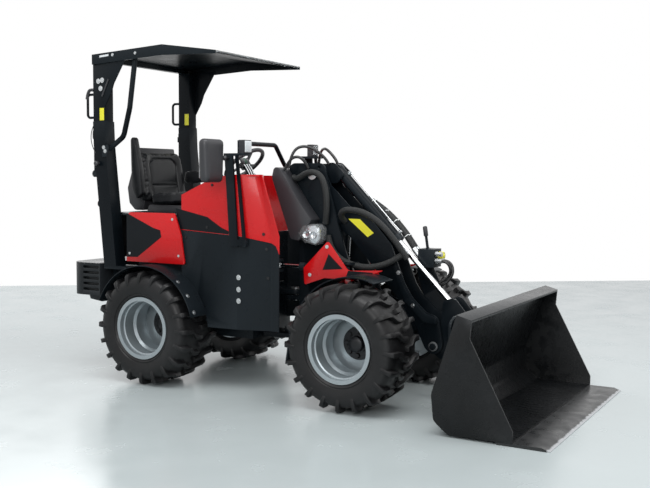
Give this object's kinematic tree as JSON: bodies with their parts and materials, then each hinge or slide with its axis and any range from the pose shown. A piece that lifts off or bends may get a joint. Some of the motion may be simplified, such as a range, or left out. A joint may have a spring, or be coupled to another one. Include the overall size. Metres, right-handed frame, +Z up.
{
  "type": "mini articulated wheel loader",
  "caption": "Small articulated wheel loader with open roll bar and roof, seat, central lift boom on a tower, tilt and lift cylinders, quick-coupler bucket and lugged tyres.",
  "frame": {"origin": "on the ground under the middle of the machine's length and width", "axes": "+X forward to the bucket, +Y to the machine's left, +Z up"},
  "size_m": [3.692, 1.608, 2.25],
  "materials": {
    "dark_frame": "satin",
    "red_panel": "gloss",
    "black_plastic": "satin",
    "black_vinyl": "satin",
    "clear_sheet": "clear",
    "lamp": "clear lens",
    "bright_steel": "polished",
    "cylinder_paint": "satin",
    "hose": "matt",
    "counterweight": "satin paint",
    "bucket_black": "gloss",
    "worn_edge": "gloss",
    "silver_rim": "metallic",
    "tyre": "matt"
  },
  "bodies": {
    "rear_body": {"rear_chassis": "dark_frame", "rear_axle": "dark_frame", "pivot_pins": "bright_steel", "counterweight": "counterweight", "engine_block": "dark_frame", "hood_panels": "red_panel", "seat_box": "dark_frame", "rear_grille": "dark_frame", "rear_fenders": "dark_frame", "footwell": "dark_frame", "cowl": "red_panel", "console": "dark_frame", "seat_base": "black_plastic", "seat_cushion": "black_vinyl", "seat_back": "black_vinyl", "seat_armrests": "black_vinyl", "post_right": "dark_frame", "post_left": "dark_frame", "roof_frame": "dark_frame", "roof_visor": "clear_sheet", "side_tube": "dark_frame", "post_fittings_right": "dark_frame", "post_fittings_left": "dark_frame", "rail_right": "dark_frame", "rail_left": "dark_frame", "work_lamps": "lamp", "mirror": "black_plastic"},
    "front_body": {"front_chassis": "dark_frame", "tower_right": "dark_frame", "tower_left": "dark_frame", "front_axle": "dark_frame", "tower_pins": "bright_steel", "tower_covers": "black_plastic", "headlamps": "lamp", "front_fenders": "dark_frame", "fender_panels": "red_panel"},
    "boom": {"boom": "dark_frame", "boom_hoses": "hose", "coupler": "dark_frame"},
    "tool": {"tool_carrier": "dark_frame", "bucket": "bucket_black", "cutting_edge": "worn_edge"},
    "steering_wheel": {"steering_wheel": "black_plastic"},
    "lift_barrel": {"lift_barrel": "cylinder_paint"},
    "lift_rod": {"lift_rod": "bright_steel"},
    "tilt_barrel": {"tilt_barrel": "cylinder_paint"},
    "tilt_rod": {"tilt_rod": "bright_steel"},
    "steer_barrel": {"steer_barrel": "cylinder_paint"},
    "steer_rod": {"steer_rod": "bright_steel"},
    "wheel_rear_left": {"rim_rear_left": "silver_rim", "tyre_rear_left": "tyre"},
    "wheel_rear_right": {"rim_rear_right": "silver_rim", "tyre_rear_right": "tyre"},
    "wheel_front_left": {"rim_front_left": "silver_rim", "tyre_front_left": "tyre"},
    "wheel_front_right": {"rim_front_right": "silver_rim", "tyre_front_right": "tyre"}
  },
  "joints": [
    {"name": "articulation", "type": "hinge", "parent": "rear_body", "child": "front_body", "pos_m": [-0.15, 0, 0.45], "axis": [0, 0, 1], "range_deg": [-35, 35]},
    {"name": "boom_lift", "type": "hinge", "parent": "front_body", "child": "boom", "pos_m": [0.056, 0, 1.4], "axis": [0, -1, 0], "range_deg": [0, 87]},
    {"name": "bucket_tilt", "type": "hinge", "parent": "boom", "child": "tool", "pos_m": [0.9, 0, 0.345], "axis": [0, -1, 0], "range_deg": [-75, 40]},
    {"name": "steering_wheel_turn", "type": "hinge", "parent": "rear_body", "child": "steering_wheel", "pos_m": [-0.576, 0, 1.471], "axis": [-0.6494, 0, 0.7604], "range_deg": [-540, 540]},
    {"name": "lift_swing", "type": "hinge", "parent": "front_body", "child": "lift_barrel", "pos_m": [0.19, 0, 0.52], "axis": [0, -1, 0], "range_deg": [-6.85, 1]},
    {"name": "lift_slide", "type": "slide", "parent": "lift_barrel", "child": "lift_rod", "axis": [0.0521, 0, 0.9986], "range_m": [-0.002, 0.4492]},
    {"name": "tilt_swing", "type": "hinge", "parent": "boom", "child": "tilt_barrel", "pos_m": [0.17, 0, 1.437], "axis": [0, -1, 0], "range_deg": [-1.83, 2.56]},
    {"name": "tilt_slide", "type": "slide", "parent": "tilt_barrel", "child": "tilt_rod", "axis": [0.6976, 0, -0.7165], "range_m": [-0.1735, 0.3235]},
    {"name": "steer_swing", "type": "hinge", "parent": "front_body", "child": "steer_barrel", "pos_m": [0.35, -0.215, 0.806], "axis": [0, 0, 1], "range_deg": [-1.62, 1.62]},
    {"name": "steer_slide", "type": "slide", "parent": "steer_barrel", "child": "steer_rod", "axis": [-1, -0.01, 0], "range_m": [-0.1311, 0.1311]},
    {"name": "rear_left_spin", "type": "hinge", "parent": "rear_body", "child": "wheel_rear_left", "pos_m": [-0.944, 0.5, 0.38], "axis": [0, 1, 0], "continuous": true},
    {"name": "rear_right_spin", "type": "hinge", "parent": "rear_body", "child": "wheel_rear_right", "pos_m": [-0.944, -0.5, 0.38], "axis": [0, 1, 0], "continuous": true},
    {"name": "front_left_spin", "type": "hinge", "parent": "front_body", "child": "wheel_front_left", "pos_m": [0.544, 0.5, 0.38], "axis": [0, 1, 0], "continuous": true},
    {"name": "front_right_spin", "type": "hinge", "parent": "front_body", "child": "wheel_front_right", "pos_m": [0.544, -0.5, 0.38], "axis": [0, 1, 0], "continuous": true}
  ],
  "couplings": [
    {"joint": "lift_swing", "follows": "boom_lift", "ratio": -0.0672},
    {"joint": "lift_slide", "follows": "boom_lift", "m_per_rad": 0.2945},
    {"joint": "tilt_swing", "follows": "bucket_tilt", "ratio": -0.02084},
    {"joint": "tilt_slide", "follows": "bucket_tilt", "m_per_rad": -0.24559},
    {"joint": "steer_swing", "follows": "articulation", "ratio": 0.01781},
    {"joint": "steer_slide", "follows": "articulation", "m_per_rad": 0.21127}
  ]
}
